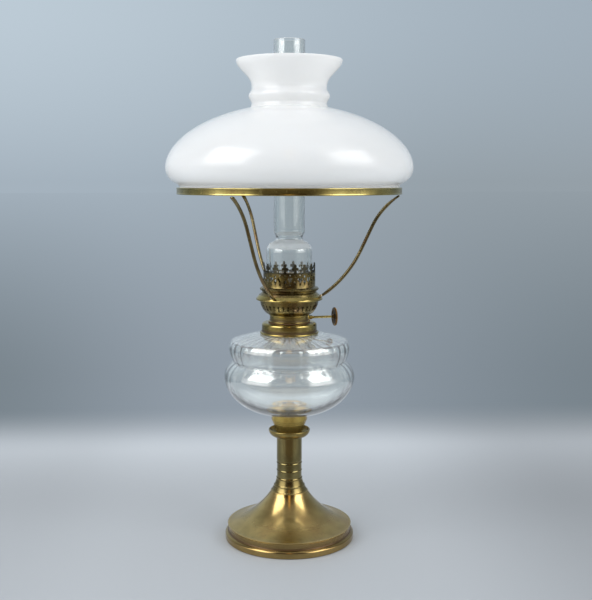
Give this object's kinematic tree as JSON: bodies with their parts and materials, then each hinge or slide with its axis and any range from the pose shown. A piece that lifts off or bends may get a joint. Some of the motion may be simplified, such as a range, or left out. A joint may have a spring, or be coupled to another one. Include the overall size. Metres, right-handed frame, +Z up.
{
  "type": "kerosene lamp",
  "caption": "Table oil lamp on a spun brass foot and column, with a ribbed clear glass font, a round-wick burner, a glass chimney and an opal dome shade on a bent-rod tripod.",
  "frame": {"origin": "middle of the underside of the foot, on the table", "axes": "+Z up along the axis of the lamp, +X along the wick spindle towards its knob"},
  "size_m": [0.258, 0.258, 0.53],
  "materials": {
    "brass": "aged satin, brown in the recesses",
    "dark_brass": "darkened, with coppery patches",
    "clear_glass": "clear, pressed",
    "opal_glass": "glossy opaque white",
    "iron": "raw casting",
    "steel": "plain",
    "plaster": "matt plaster",
    "leather": "matt",
    "cotton": "woven cotton"
  },
  "bodies": {
    "stand": {"foot_shell": "brass", "foot_weight": "iron", "foot_cover": "steel", "tie_rod": "steel", "tie_washer": "steel", "tie_nut": "steel", "column_sleeve": "brass", "column_tube": "brass", "column_dish": "brass", "peg_ferrule": "brass", "peg_cement": "plaster", "font": "clear_glass", "neck_cement": "plaster", "font_collar": "brass"},
    "seal": {"burner_seal": "leather"},
    "burner": {"burner_base": "brass", "air_basket": "brass", "deck_ring": "brass", "wick_tube": "brass", "draft_tube": "brass", "air_duct": "brass", "spindle_bush": "brass", "gallery": "brass", "chimney_springs": "brass"},
    "knob": {"wick_spindle": "dark_brass", "wick_pinion": "steel", "wick_knob": "dark_brass"},
    "wick_feed": {"wick_carrier": "brass", "wick": "cotton"},
    "tripod": {"tripod_collar": "brass", "arm_right": "dark_brass", "arm_back": "dark_brass", "arm_left": "dark_brass", "arm_rivets": "brass", "shade_ring": "brass"},
    "shade_glass": {"shade": "opal_glass"},
    "chimney_glass": {"chimney": "clear_glass"}
  },
  "joints": [
    {"name": "burner_rise", "type": "slide", "parent": "stand", "child": "seal", "axis": [0, 0, 1], "range_m": [0, 0.0037]},
    {"name": "burner_unscrew", "type": "hinge", "parent": "seal", "child": "burner", "pos_m": [0, 0, 0.237], "axis": [0, 0, 1], "range_deg": [0, 720]},
    {"name": "knob_turn", "type": "hinge", "parent": "burner", "child": "knob", "pos_m": [0.0501, 0, 0.2406], "axis": [-1, 0, 0], "range_deg": [-57, 114]},
    {"name": "wick_raise", "type": "slide", "parent": "burner", "child": "wick_feed", "axis": [0, 0, 1], "range_m": [-0.0041, 0.0081]},
    {"name": "chimney_lift", "type": "slide", "parent": "burner", "child": "chimney_glass", "axis": [0, 0, 1], "range_m": [0, 0.26]},
    {"name": "tripod_lift", "type": "slide", "parent": "burner", "child": "tripod", "axis": [0, 0, 1], "range_m": [0, 0.28]},
    {"name": "shade_lift", "type": "slide", "parent": "tripod", "child": "shade_glass", "axis": [0, 0, 1], "range_m": [0, 0.17]}
  ],
  "couplings": [
    {"joint": "burner_rise", "follows": "burner_unscrew", "m_per_rad": 0.00028648},
    {"joint": "wick_raise", "follows": "knob_turn", "m_per_rad": 0.004}
  ]
}
